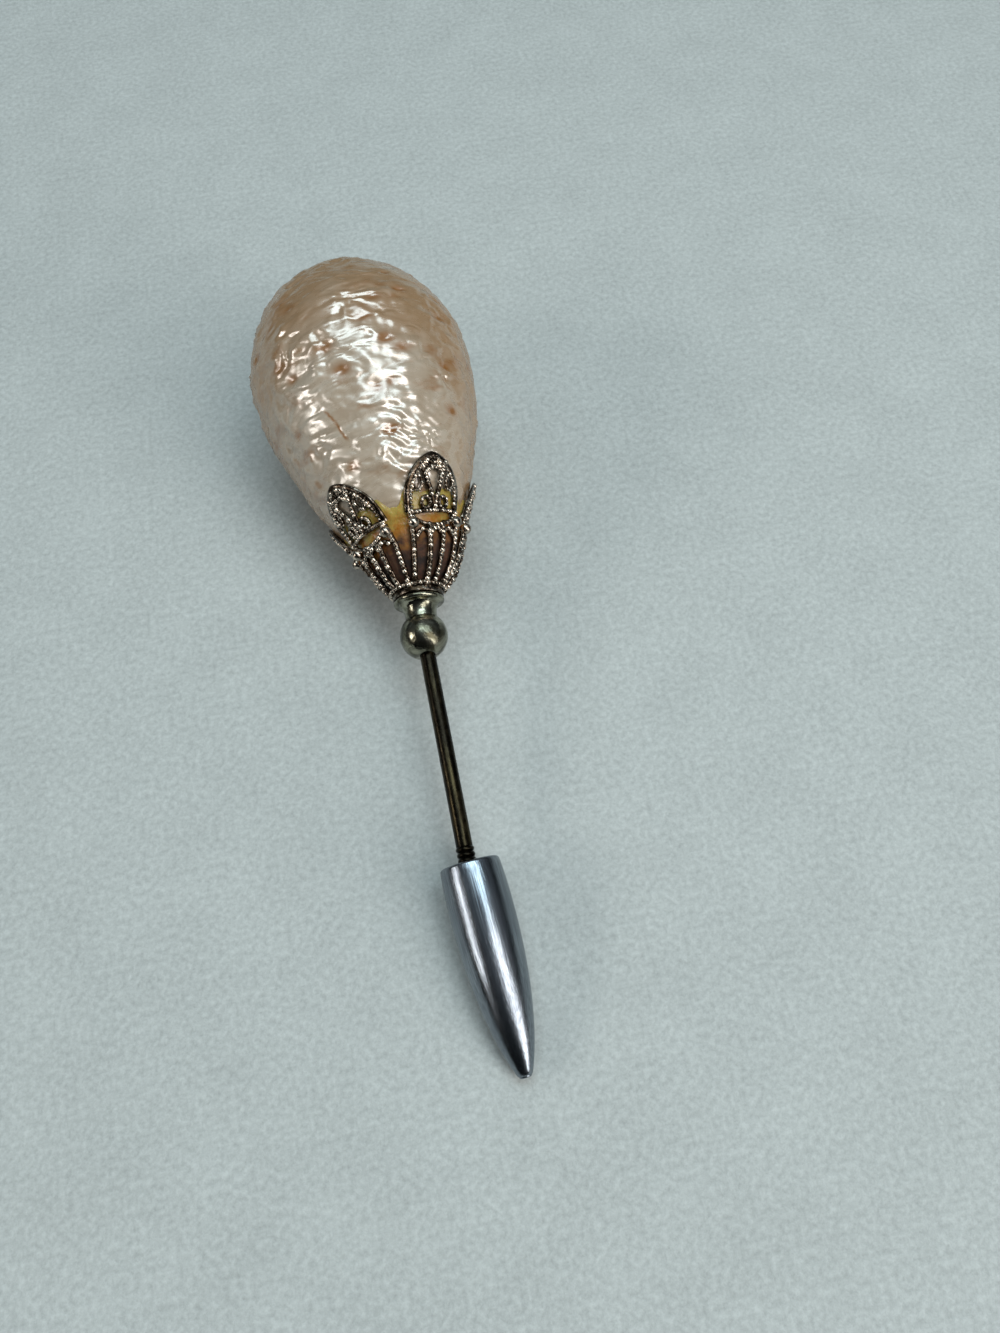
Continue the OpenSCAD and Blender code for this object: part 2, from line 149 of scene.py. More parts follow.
class CapSettings(bpy.types.PropertyGroup):
    petals: IntProperty(name="Petals", description="Number of petals", default=5, min=4, max=5)
    bell: distance("Bell", "Length of the bell below the petals", 4.5 * MM)
    collar_width: distance("Collar", "Diameter of the collar", 3.9 * MM)
    collar_height: distance("Collar height", "Height of the collar", 0.5 * MM)
    petal_height: distance("Petal height", "Height of a petal above the bell", 4.0 * MM)
    petal_width: distance("Petal width", "Width of a petal", 4.9 * MM)
    lift: distance("Lift", "Height of the metal's skin above the pearl", 0.58 * MM)
    wire: distance("Wire", "Height of the wires", 0.42 * MM)
    bead: distance("Bead", "Diameter of the fine beads", 0.34 * MM)
    ball: distance("Ball", "Diameter of the balls beside a petal", 0.92 * MM)
    silver: colour("Silver", "Colour of the raised metal", (0.82, 0.70, 0.58))
    recess: colour("Recess", "Colour of the metal in the recesses", (0.04, 0.027, 0.017))


class FinialSettings(bpy.types.PropertyGroup):
    ball: distance("Ball", "Diameter of the ball", 3.64 * MM)
    foot: distance("Foot", "Diameter of the flat under the ball", 1.9 * MM)
    neck: distance("Neck", "Diameter of the neck", 2.4 * MM)
    flange: distance("Flange", "Diameter of the flange", 3.88 * MM)
    flange_height: distance("Flange height", "Thickness of the flange", 0.42 * MM)
    height: distance("Height", "From the ball's centre to the top of the flange", 2.95 * MM)
    metal: colour("Metal", "Colour of the polished metal", (0.37, 0.355, 0.275))
    tarnish: colour("Tarnish", "Colour of the tarnish", (0.06, 0.055, 0.035))


class StemSettings(bpy.types.PropertyGroup):
    width: distance("Width", "Diameter of the stem where it shows", 1.2 * MM)
    shown: distance("Shown", "Length of stem between the guard and the finial", 15.7 * MM)
    tail_width: distance("Tail width", "Diameter inside the pearl", 0.9 * MM)
    tail: distance("Tail", "Length inside the pearl", 14.0 * MM)
    point: distance("Point", "Length inside the guard", 10.5 * MM)
    taper: distance("Taper", "Length of the taper", 3.0 * MM)
    pitch: distance("Pitch", "Distance from one grip ring to the next", 0.4 * MM)
    proud: distance("Proud", "How far the grip rings stand out", 0.07 * MM)
    brass: colour("Brass", "Colour where the finish is worn", (0.045, 0.035, 0.018))
    black: colour("Black", "Colour of the finish", (0.012, 0.010, 0.007))


class GuardSettings(bpy.types.PropertyGroup):
    width: distance("Width", "Largest diameter of the guard", 4.58 * MM)
    length: distance("Length", "Length of the guard", 14.6 * MM)
    mouth_in: distance("Mouth", "How much the radius shrinks at the mouth", 0.14 * MM)
    bulge: distance("Bulge", "From the mouth to the widest place", 3.0 * MM)
    tip: distance("Tip", "Diameter of the flat at the tip", 0.9 * MM)
    edge: distance("Edge", "Radius of the edge round the mouth", 0.2 * MM)
    wall: distance("Wall", "Thickness of the wall", 0.35 * MM)
    silver: colour("Silver", "Colour of the plate", (0.31, 0.345, 0.38))
    dull: colour("Dull", "Colour of the duller streaks", (0.14, 0.155, 0.18))


class StageSettings(bpy.types.PropertyGroup):
    floor: colour("Floor", "Colour of the surface", (0.41, 0.44, 0.43))
    camera: FloatVectorProperty(
        name="Camera", description="Place of the camera", unit="LENGTH", subtype="TRANSLATION",
        default=(1.02189 * MM, -34.47307 * MM, 73.03523 * MM))
    aim: FloatVectorProperty(
        name="Turn", description="Turn of the camera", unit="ROTATION", subtype="EULER",
        default=(math.radians(24.63938), math.radians(0.93742), math.radians(-11.52075)))
    lens: FloatProperty(name="Lens", description="Focal length in millimetres", default=27.0, min=1)


# Helpers for meshes

def finished(mesh, name, material, node, sharp=40):
    """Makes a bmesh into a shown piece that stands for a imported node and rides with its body"""
    bmesh.ops.recalc_face_normals(mesh, faces=mesh.faces)
    for face in mesh.faces:
        face.smooth = True
    for edge in mesh.edges:
        edge.smooth = edge.calc_face_angle(0) < math.radians(sharp)
    data = bpy.data.meshes.new(name)
    mesh.to_mesh(data)
    mesh.free()
    data.materials.append(material)
    piece = bpy.data.objects.new(name, data)
    bpy.context.scene.collection.objects.link(piece)
    bodies = frame["record"]["behaviour"]["bodies"]
    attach(piece, next(body for body, nodes in bodies.items() if node in nodes))
    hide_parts(node)
    return piece


def lathe(profile, steps, closed=False):
    """A turned form about Z, from pairs of radius and height"""
    mesh = bmesh.new()
    verts = [mesh.verts.new((radius, 0, height)) for radius, height in profile]
    ends = verts[1:] + verts[:1] if closed else verts[1:]
    edges = [mesh.edges.new(pair) for pair in zip(verts, ends)]
    bmesh.ops.spin(
        mesh, geom=verts + edges, cent=(0, 0, 0), axis=(0, 0, 1), dvec=(0, 0, 0),
        angle=WHOLE, steps=steps, use_merge=True)
    bmesh.ops.remove_doubles(mesh, verts=mesh.verts, dist=0.0005 * MM)
    return mesh


def swept(mesh, rings, sides, closed=False):
    """A wire through ring frames, whose X and Y columns are its half width and half height"""
    start = bmesh.ops.create_circle(mesh, cap_ends=not closed, segments=sides, radius=1, matrix=rings[0])["verts"]
    edges = list({edge for vert in start for edge in vert.link_edges})
    verts = list(start)
    stops = rings[1:] + rings[:1] if closed else rings[1:]
    for old, new in zip(rings, stops):
        made = bmesh.ops.extrude_edge_only(mesh, edges=edges)["geom"]
        moved = [item for item in made if isinstance(item, bmesh.types.BMVert)]
        bmesh.ops.transform(mesh, matrix=new @ old.inverted(), verts=moved)
        edges = [item for item in made if isinstance(item, bmesh.types.BMEdge)]
        edges = [edge for edge in edges if edge.verts[0] in moved and edge.verts[1] in moved]
        verts += moved
    if closed:
        bmesh.ops.remove_doubles(mesh, verts=verts, dist=0.001 * MM)
    else:
        bmesh.ops.contextual_create(mesh, geom=edges)
    return verts


# Helpers for materials

def new_material(name, **values):
    material = bpy.data.materials.new(name)
    material.use_nodes = True
    shader = material.node_tree.nodes["Principled BSDF"]
    for key, value in values.items():
        shader.inputs[key.replace("_", " ").title().replace("Ior", "IOR")].default_value = value
    return material, material.node_tree, shader


def plug(tree, socket, value):
    if isinstance(value, bpy.types.NodeSocket):
        tree.links.new(value, socket)
    else:
        socket.default_value = value


def add(tree, kind, inputs=(), **settings):
    """A node with its settings, and its inputs given as values or as sockets to link"""
    made = tree.nodes.new(kind)
    for key, value in settings.items():
        setattr(made, key, value)
    for key, value in dict(inputs).items():
        plug(tree, made.inputs[key], value)
    return made


def local_place(tree, place, sizes):
    """Object coordinates in a piece's own frame, counted in a pattern's sizes"""
    where = add(tree, "ShaderNodeTexCoord").outputs["Object"]
    return add(tree, "ShaderNodeMapping", vector_type="TEXTURE", inputs={
        "Vector": where, "Location": place.to_translation(), "Rotation": place.to_euler(),
        "Scale": sizes}).outputs["Vector"]


def clouds(tree, where, scale=1.0, detail=3.0, roughness=0.5, distortion=0.0):
    return add(tree, "ShaderNodeTexNoise", inputs={
        "Vector": where, "Scale": scale, "Detail": detail, "Roughness": roughness,
        "Distortion": distortion}).outputs["Fac"]


def span(tree, value, low, high, to_low=0.0, to_high=1.0):
    return add(tree, "ShaderNodeMapRange", inputs={
        "Value": value, "From Min": low, "From Max": high,
        "To Min": to_low, "To Max": to_high}).outputs["Result"]


def blended(tree, share, first, second):
    """A mix of two colours, each a value or a socket"""
    made = add(tree, "ShaderNodeMix", data_type="RGBA")
    plug(tree, made.inputs[0], share)
    for socket, value in ((made.inputs[6], first), (made.inputs[7], second)):
        plug(tree, socket, value if isinstance(value, bpy.types.NodeSocket) else (*value, 1))
    return made.outputs[2]


def bumped(tree, shader, height, depth):
    made = add(tree, "ShaderNodeBump", inputs={"Height": height, "Distance": depth, "Strength": 1.0})
    tree.links.new(made.outputs["Normal"], shader.inputs["Normal"])


# Pearl

TOP_ROUND = 2.05
LOW_ROUND = 1.5
LOW_TAPER = 0.65
PEARL_SIDES = 316
PEARL_RINGS = 300
HOLE_DEPTH = 11 * MM

# Pits in the coat: degrees round, height, radius and depth in millimetres, and stain
PITS = [
    (29, 16.7, 0.5, 0.16, 0.9), (14, 15.9, 0.6, 0.1, 0.6), (6, 14.3, 0.6, 0.14, 0.9),
    (14, 12.3, 0.6, 0.16, 1.0), (21, 11.5, 0.55, 0.12, 0.7), (-16, 12.8, 0.6, 0.14, 0.9),
    (47, 10.5, 0.5, 0.16, 0.9), (-11, 10.7, 0.6, 0.12, 0.9), (-43, 13.3, 0.6, 0.14, 0.9),
    (-38, 11.9, 0.5, 0.12, 0.8), (4, 8.8, 0.55, 0.12, 0.8), (12, 9.1, 0.45, 0.1, 0.7),
    (49, 7.2, 0.5, 0.14, 0.8), (6, 5.8, 0.5, 0.2, 1.3), (-50, 8.3, 0.45, 0.1, 0.7),
    (-26, 4.3, 0.5, 0.12, 0.7), (27, 18.8, 0.35, 0.14, 0.5), (50, 14.7, 0.6, 0.1, 0.6),
    (-60, 16.0, 0.7, 0.1, 0.5), (-30, 17.5, 0.6, 0.1, 0.5), (75, 12.0, 0.6, 0.12, 0.7),
    (100, 8.5, 0.6, 0.12, 0.8), (125, 14.0, 0.6, 0.12, 0.8), (150, 10.0, 0.5, 0.12, 0.8),
    (-80, 10.0, 0.6, 0.12, 0.8), (-105, 13.5, 0.6, 0.12, 0.8), (-130, 8.0, 0.5, 0.12, 0.7),
    (-155, 15.0, 0.6, 0.12, 0.7), (175, 17.0, 0.5, 0.12, 0.7), (90, 18.0, 0.5, 0.1, 0.6),
    (-90, 19.0, 0.5, 0.1, 0.6), (-170, 6.0, 0.5, 0.12, 0.7),
]


# Smooth patches of the coat: degrees round, height and radius in millimetres
CALM = [
    (-1, 6.2, 1.5), (-20, 17.0, 3.0), (30, 19.5, 3.5), (-48, 16.5, 2.2), (35, 14.5, 1.2), (-4, 3.0, 1.0),
    (0, 18.6, 2.7), (18, 18.4, 2.0), (0, 24.2, 5.5), (140, 12.0, 2.5), (-120, 16.0, 2.5), (-100, 8.0, 3.2),
    (165, 6.0, 2.6), (-150, 11.0, 3.2), (95, 15.0, 3.0), (110, 5.0, 2.2),
]
# Painted sheen: two broad patches where the coat is painted pale, on the upper face and underneath: degrees round,
# height and radius in millimetres
PAINTED_SHEEN = [(-8, 6.5, 9.3), (172, 8.0, 9.0)]
# A hairline in the coat: degrees round and height of its corners, and its half width
HAIRLINE = [(-27, 8.4), (-24.5, 7.6), (-24, 6.9), (-22, 6.1)]
HAIR = 0.08 * MM
# A fan of ridges: degrees round and height of its middle, its reach and the distance between ridges
FAN = (17, 5.0, 3.6, 0.7)


def egg_radius(pearl, height):
    """Radius of the pearl at a height above the cap's mouth"""
    middle = pearl.below - pearl.seat
    if height < middle:
        share = clamp((middle - height) / pearl.below)
        return pearl.width / 2 * (1 - share ** LOW_ROUND) ** LOW_TAPER
    share = clamp((height - middle) / pearl.above)
    return pearl.width / 2 * (1 - share ** TOP_ROUND) ** (1 / TOP_ROUND)


def surface_spot(pearl, turn, high):
    """A point of the smooth egg, by degrees round and height in millimetres"""
    return around(turn, egg_radius(pearl, high * MM), high * MM)


def wrinkle(spot, pearl, calm):
    """Height of the wrinkled coat at a spot, in millimetres from the cap's mouth"""
    warped = spot + noise.noise_vector(spot * 0.35) * 1.3
    flat = Vector((warped.x * 0.6, warped.y * 0.6, warped.z))
    dimple = eased(0, 0.9, noise.voronoi(flat * 0.62)[0][0]) - 0.5
    cup = eased(0, 0.8, noise.voronoi(warped * 0.85)[0][0]) - 0.5
    crease = max(0, 1 - 2.2 * abs(noise.noise(flat * 1.25 + Vector((7, 3, 5)))))
    crimp = max(0, 1 - 2.4 * abs(noise.noise(flat * 1.9 + Vector((1, 8, 2)))))
    ripple = noise.noise(Vector((flat.x * 1.2, flat.y * 1.2, flat.z * 1.9)))
    strength = between(1.12, 0.2, calm)
    return (
        pearl.lumps * noise.noise(spot * 0.24)
        + strength * (
            pearl.dimples * (dimple + 0.55 * cup)
            + pearl.creases * (0.6 * crease ** 2 + 0.3 * crimp ** 2 + 2.0 * ripple)))


def line_gap(point, corners):
    """Distance from a point to a line of corners"""
    gap = 1.0
    for start, stop in zip(corners, corners[1:]):
        run = stop - start
        share = clamp((point - start).dot(run) / run.length_squared)
        gap = min(gap, (point - start - run * share).length)
    return gap


def make_pearl(pearl):
    middle = pearl.below - pearl.seat
    mesh = bmesh.new()
    bmesh.ops.create_uvsphere(mesh, u_segments=PEARL_SIDES, v_segments=PEARL_RINGS, radius=1)
    stain = mesh.verts.layers.float.new("stain")
    pale = mesh.verts.layers.float.new("pale")
    pits = [(surface_spot(pearl, turn, high), wide * MM, deep * MM, tone) for turn, high, wide, deep, tone in PITS]
    calms = [(surface_spot(pearl, turn, high), wide * MM) for turn, high, wide in CALM]
    # thick holds the centres of the patches of painted sheen
    thick = [(surface_spot(pearl, turn, high), wide * MM) for turn, high, wide in PAINTED_SHEEN]
    hairline = [surface_spot(pearl, turn, high) for turn, high in HAIRLINE]
    fan = surface_spot(pearl, *FAN[:2])
    for vert in mesh.verts:
        height = middle + vert.co.z * (pearl.above if vert.co.z > 0 else pearl.below)
        turn = math.degrees(math.atan2(vert.co.x, -vert.co.y))
        vert.co = around(turn, egg_radius(pearl, height), height)
    mesh.normal_update()
    places = []
    for vert in mesh.verts:
        shown = between(0.3, 1, eased(0.5 * MM, 4.5 * MM, vert.co.z)) if vert.co.z > 0 else 0
        calm = 0.6 * eased(0.1, 0.45, noise.noise(vert.co / MM * 0.21 + Vector((3, 9, 4))))
        for centre, wide in calms:
            calm = max(calm, 1 - eased(0.55, 1.1, (vert.co - centre).length / wide))
        rise = wrinkle(vert.co / MM, pearl, calm) * shown
        # pale marks the patches of painted sheen
        vert[pale] = max(1 - eased(0.5, 1.1, (vert.co - centre).length / wide) for centre, wide in thick)
        for centre, wide, deep, tone in pits:
            away = vert.co - centre
            away = Vector((away.x, away.y, away.z * 1.6)).length / wide / 1.15
            if away < 2.6:
                rise -= deep * math.exp(-away * away * 1.8)
                vert[stain] = max(vert[stain], min(1, 1.6 * tone * math.exp(-away * away * 1.1)))
        from_fan = (vert.co - fan).length / MM / FAN[2]
        if from_fan < 1:
            turns = (vert.co.z + 0.35 * abs(vert.co.x)) / MM / FAN[3] + noise.noise(vert.co / MM * 0.5)
            rise += pearl.ridges * math.sin(WHOLE * turns) * (1 - eased(0.5, 1, from_fan))
        if (vert.co - hairline[1]).length < 3 * MM:
            near = math.exp(-(line_gap(vert.co, hairline) / HAIR) ** 2)
            rise -= 0.04 * MM * near
            vert[stain] = max(vert[stain], 1.2 * near)
        places.append(vert.co + vert.normal * rise)
    for vert, place in zip(mesh.verts, places):
        vert.co = place
    drilled = [vert for vert in mesh.verts if vert.co.z < middle and vert.co.xy.length < pearl.bore / 2]
    bmesh.ops.delete(mesh, geom=drilled, context="VERTS")
    made = bmesh.ops.extrude_edge_only(mesh, edges=[edge for edge in mesh.edges if edge.is_boundary])["geom"]
    wall = [item for item in made if isinstance(item, bmesh.types.BMVert)]
    bmesh.ops.translate(mesh, verts=wall, vec=(0, 0, HOLE_DEPTH))
    bmesh.ops.holes_fill(mesh, edges=[edge for edge in mesh.edges if edge.is_boundary])
    bmesh.ops.transform(mesh, matrix=PEARL, verts=mesh.verts)
    for vert in mesh.verts:
        vert.co.z = max(vert.co.z, 0)
    return mesh


def pearl_material(pearl):
    material, tree, shader = new_material(
        "pearl_coat", metallic=0.1, roughness=0.25, ior=2.6)
    where = local_place(tree, PEARL, (MM, MM, MM))
    across = local_place(tree, PEARL, (1.7 * MM, 1.7 * MM, 0.8 * MM))
    blots = span(tree, clouds(tree, across, 0.45, 3.0, 0.6), 0.54, 0.7, 0.0, 0.75)
    stain = add(tree, "ShaderNodeAttribute", attribute_name="stain").outputs["Fac"]
    pale = add(tree, "ShaderNodeAttribute", attribute_name="pale").outputs["Fac"]
    drift = span(tree, clouds(tree, where, 0.25, 3.0), 0.3, 0.7, -0.3, 0.3)
    # Painted sheen: the coat is painted pale in the sheen patches and tan outside them, with a random drift of tone
    patches = add(tree, "ShaderNodeMath", operation="ADD", use_clamp=True, inputs={0: pale, 1: drift}).outputs[0]
    coat = blended(tree, patches, pearl.tan, pearl.coat)
    worn = add(tree, "ShaderNodeMath", operation="MAXIMUM", inputs={0: stain, 1: blots})
    plug(tree, shader.inputs["Base Color"], blended(tree, worn.outputs[0], coat, pearl.amber))
    plug(tree, shader.inputs["Roughness"], span(tree, clouds(tree, across, 1.1, 3.0), 0.35, 0.65, 0.2, 0.34))
    bumped(tree, shader, clouds(tree, across, 0.8, 1.0, 0.4, 0.8), 0.24 * MM)
    return material


# Cap

BELL_CURVE = 0.58
SLOPE_STEP = 0.3 * MM
PETAL_FIRST = -45
PETAL_BENDS = (-2.5, 3, 4, 2, -1)
# How far out the uprights of a petal's bell stand at the foot, against the top
OUTER_FOOT = 1.32
INNER_FOOT = 1.0


class CapSkin:
    """The outer face of the cap: a bell up to its mouth, and petals over the pearl above it"""

    def __init__(self, cap, pearl):
        self.cap = cap
        self.pearl = pearl
        self.collar_radius = cap.collar_width / 2
        self.mouth_radius = egg_radius(pearl, 0) + cap.lift * math.hypot(1, self.egg_slope(0))

    def egg_slope(self, height):
        rise = egg_radius(self.pearl, height + SLOPE_STEP) - egg_radius(self.pearl, height - SLOPE_STEP)
        return rise / (2 * SLOPE_STEP)

    def slope(self, height):
        if height >= 0:
            return self.egg_slope(height)
        share = max(SLOPE_STEP, self.cap.bell + height) / self.cap.bell
        return (self.mouth_radius - self.collar_radius) * BELL_CURVE / self.cap.bell * share ** (BELL_CURVE - 1)

    def radius(self, height, sink=0.0):
        stretch = math.hypot(1, self.slope(height))
        if height >= 0:
            return egg_radius(self.pearl, height) + (self.cap.lift - sink) * stretch
        share = max(0, self.cap.bell + height) / self.cap.bell
        return between(self.collar_radius, self.mouth_radius, share ** BELL_CURVE) - sink * stretch

    def turned(self, height, point):
        """A point of a section, which turns from the finial's axis to the pearl's up the bell"""
        share = clamp((height + self.cap.bell) / (self.cap.bell * 0.75))
        return (MOUTH @ point).lerp(PEARL @ point, share)

    def place(self, azimuth, height, sink):
        """The point and normal at an azimuth and height, sunk below the skin"""
        point = self.turned(height, around(azimuth, self.radius(height, sink), height))
        foot = self.turned(height, Vector((0, 0, height)))
        out = self.turned(height, around(azimuth, MM, height)) - foot
        up = self.turned(height, Vector((0, 0, height + MM))) - foot
        return point, (out - up * self.slope(height)).normalized()

    def across(self, azimuth, side, height, sink):
        """The same from a width to the side of an azimuth"""
        turn = math.degrees(side / self.radius(height, sink))
        return self.place(azimuth + turn, height, sink)


def evenly(path, step):
    """Points and normals at even steps along a finely drawn path"""
    kept = [path[0]]
    run = 0.0
    for (old, _), (new, normal) in zip(path, path[1:]):
        run += (new - old).length
        if run >= step:
            kept.append((new, normal))
            run = 0.0
    return kept


def ring_frames(path, width, height, closed=False):
    """Frames for a wire's rings along a path of points and normals"""
    frames = []
    count = len(path)
    for index, (point, normal) in enumerate(path):
        if closed:
            ahead, behind = path[(index + 1) % count][0], path[index - 1][0]
        else:
            ahead, behind = path[min(index + 1, count - 1)][0], path[max(index - 1, 0)][0]
        along = (ahead - behind).normalized()
        side = normal.cross(along).normalized()
        top = along.cross(side)
        turn = Matrix((side * width / 2, top * height / 2, along * height / 2)).transposed().to_4x4()
        frames.append(Matrix.Translation(point) @ turn)
    return frames


class CapMaker:
    """Makes wires and rows of beads in small meshes, and gathers them in one"""

    SIDES = 8
    WIRE_STEP = 0.28 * MM

    def __init__(self, cap, skin):
        self.cap = cap
        self.skin = skin
        self.made = []
        self.chance = random.Random(7)

    def keep(self, mesh, tone):
        """Puts a small mesh aside with one tone for its shine"""
        shine = mesh.verts.layers.float.new("shine")
        for vert in mesh.verts:
            vert[shine] = tone
        data = bpy.data.meshes.new("filigree")
        mesh.to_mesh(data)
        mesh.free()
        self.made.append(data)

    def gathered(self):
        mesh = bmesh.new()
        for data in self.made:
            mesh.from_mesh(data)
            bpy.data.meshes.remove(data)
        return mesh

    def wire(self, path, width, height, closed=False, tone=0.25):
        mesh = bmesh.new()
        swept(mesh, ring_frames(evenly(path, self.WIRE_STEP), width, height, closed), self.SIDES, closed)
        self.keep(mesh, tone)

    def ball(self, point, normal, size, sides=8, rings=5, tone=1.0):
        mesh = bmesh.new()
        turn = normal.to_track_quat("Z", "X").to_matrix().to_4x4()
        bmesh.ops.create_uvsphere(
            mesh, u_segments=sides, v_segments=rings, radius=size / 2, matrix=Matrix.Translation(point) @ turn)
        self.keep(mesh, tone)

    def beads(self, path, size, lift, pitch=0.78):
        """A row of beads along a path, each a little different"""
        for point, normal in evenly(path, size * pitch):
            own = size * self.chance.uniform(0.78, 1.16)
            out = lift + size * self.chance.uniform(-0.14, 0.1)
            self.ball(point + normal * out, normal, own, tone=self.chance.uniform(0.25, 1.0))


def petal_centres(cap):
    """Degrees round of each petal's middle"""
    return [PETAL_FIRST + index * 360 / cap.petals + PETAL_BENDS[index] for index in range(cap.petals)]


def petal_edge(cap, skin, height):
    """Half the width of a petal at a height"""
    widest = cap.petal_height * 0.32
    half = cap.petal_width / 2 - 0.35 * MM
    tip = cap.petal_height - 0.35 * MM
    foot = math.radians(122.5 / cap.petals) * skin.mouth_radius
    if height < widest:
        return half - (half - foot) * ((widest - height) / widest) ** 2
    return half * max(0, 1 - ((height - widest) / (tip - widest)) ** 1.8) ** 0.65


def make_petal(maker, azimuth):
    cap, skin = maker.cap, maker.skin
    bead, sink = cap.bead, cap.wire / 2
    tip = cap.petal_height - 0.35 * MM
    foot = 0.1 * MM
    half = cap.petal_width / 2 - 0.35 * MM

    def edge_path(inset, deep):
        rows = [foot + (tip - inset - foot) * math.sin(math.pi / 2 * q) for q in shares(60)]
        right = [skin.across(azimuth, max(0, petal_edge(cap, skin, h + inset * 0.4) - inset), h, deep) for h in rows]
        left = [skin.across(azimuth, -max(0, petal_edge(cap, skin, h + inset * 0.4) - inset), h, deep)
                for h in reversed(rows[:-1])]
        return right + left

    maker.wire(edge_path(-0.06 * MM, sink * 1.3), 0.5 * MM, cap.wire * 0.62, tone=0.3)
    maker.beads(edge_path(0.2 * MM, sink), bead, 0.06 * MM)
    bar = [skin.across(azimuth, petal_edge(cap, skin, foot) * (2 * q - 1), foot, sink) for q in shares(60)]
    maker.wire(bar, 0.4 * MM, cap.wire * 0.8, tone=0.3)
    maker.beads(bar, bead, 0.08 * MM)

    fork_top, fork_half = cap.petal_height * 0.8, half * 0.5
    for side in (-1, 1):
        tine = [skin.across(azimuth, side * fork_half * q ** 1.3, foot + (fork_top - foot) * q, sink)
                for q in shares(60)]
        maker.wire(tine, 0.42 * MM, cap.wire * 0.8)
        maker.beads(tine, bead * 1.1, 0.05 * MM)
        curl_r, curl_side = half * 0.17, half * 0.351
        curl = [skin.across(
            azimuth, side * curl_side + curl_r * math.cos(WHOLE * q),
            curl_r + foot + 0.16 * MM + curl_r * math.sin(WHOLE * q), sink) for q in shares(48)]
        maker.wire(curl[:-1], 0.32 * MM, cap.wire * 0.8, closed=True)
        maker.beads(curl[:-2], bead * 0.85, 0.05 * MM)
        loop_r, loop_side, loop_at = half * 0.15, half * 0.64, cap.petal_height * 0.47
        loop = [skin.across(
            azimuth, side * loop_side + loop_r * math.cos(WHOLE * q), loop_at + 1.5 * loop_r * math.sin(WHOLE * q), sink)
            for q in shares(48)]
        maker.wire(loop[:-1], 0.26 * MM, cap.wire * 0.8, closed=True)
        maker.beads(loop[:-2], bead * 0.9, 0.05 * MM)
    brow_at, brow_half = fork_top * 0.802, fork_half * 0.62
    brow = [skin.across(azimuth, brow_half * (2 * q - 1), brow_at + fork_half * 0.25 * math.sin(math.pi * q), sink)
            for q in shares(30)]
    maker.wire(brow, 0.36 * MM, cap.wire * 0.8)
    maker.beads(brow, bead, 0.04 * MM)
    for row, wide in ((0.0, 1), (0.27, 2), (0.54, 3), (0.8, 3)):
        for spot in range(-wide, wide + 1):
            if row == 0.8 and abs(spot) < 2:
                continue
            point, normal = skin.across(
                azimuth, (spot + maker.chance.uniform(-0.3, 0.3)) * 0.27 * MM, tip - (0.22 + row) * MM, sink)
            maker.ball(
                point + normal * 0.05 * MM, normal, bead * maker.chance.uniform(0.8, 1.2),
                tone=maker.chance.uniform(0.2, 1.0))


def make_bell(maker, azimuth):
    cap, skin = maker.cap, maker.skin
    bead, sink = cap.bead, cap.wire / 2
    half_turn = 122.5 / cap.petals
    bell = cap.bell

    crescent = [skin.place(
        azimuth - half_turn * 0.966 * math.cos(math.pi * q), 0.05 * MM - bell * 0.215 * math.sin(math.pi * q), sink)
        for q in shares(80)]
    maker.wire(crescent, 0.3 * MM, cap.wire * 0.85)
    maker.beads(crescent, bead * 1.1, 0.05 * MM)
    leaf_top, leaf_arch = -bell * 0.336, bell * 0.086
    for offset in (-3, -1, 1, 3):
        top = -0.05 * MM if abs(offset) == 3 else leaf_top + leaf_arch * 2
        foot_share = OUTER_FOOT if abs(offset) == 3 else INNER_FOOT
        upright = [skin.place(
            azimuth + offset * half_turn / 3 * between(foot_share, 1, q ** 0.8),
            top - (top + bell * 0.97) * (1 - q) ** 1.5, sink) for q in shares(80)]
        maker.wire(upright, 0.46 * MM, cap.wire * 0.8)
        maker.beads(upright, bead * 1.2, 0.07 * MM)
    arch = [skin.place(
        azimuth + half_turn * 0.942 * (2 * q - 1), leaf_top + leaf_arch * abs(math.sin(3 * math.pi * q)), sink)
        for q in shares(120)]
    maker.wire(arch, 0.36 * MM, cap.wire * 0.85)
    maker.beads(arch, bead * 1.15, 0.06 * MM)
    for side in (-1, 1):
        point, normal = skin.place(azimuth + side * half_turn, -bell * 0.154, sink - cap.ball / 4)
        maker.ball(point, normal, cap.ball * 0.97, sides=16, rings=10, tone=0.55)


def make_cap(cap, skin):
    maker = CapMaker(cap, skin)
    for azimuth in petal_centres(cap):
        make_petal(maker, azimuth)
        make_bell(maker, azimuth)
    ring = [skin.place(360 * q, 0.12 * MM - cap.bell, cap.wire * 0.35) for q in shares(240)]
    maker.wire(ring[:-1], 0.42 * MM, cap.wire * 0.7, closed=True)
    maker.beads(ring[:-1], cap.bead * 1.05, 0.05 * MM)
    low = MOUTH_ABOVE_BALL - cap.bell - cap.collar_height
    edge = 0.1 * MM
    outer = cap.collar_width / 2
    profile = [(0.48 * MM, low)]
    profile += [(outer - edge + edge * math.sin(a), low + edge - edge * math.cos(a))
                for a in (math.pi / 2 * q for q in shares(5))]
    profile += [(outer - edge + edge * math.cos(a), low + cap.collar_height - edge + edge * math.sin(a))
                for a in (math.pi / 2 * q for q in shares(5))]
    profile += [(0.48 * MM, low + cap.collar_height)]
    collar = lathe(profile, 72, closed=True)
    bmesh.ops.transform(collar, matrix=FITTING, verts=collar.verts)
    maker.keep(collar, 0.3)
    return maker.gathered()


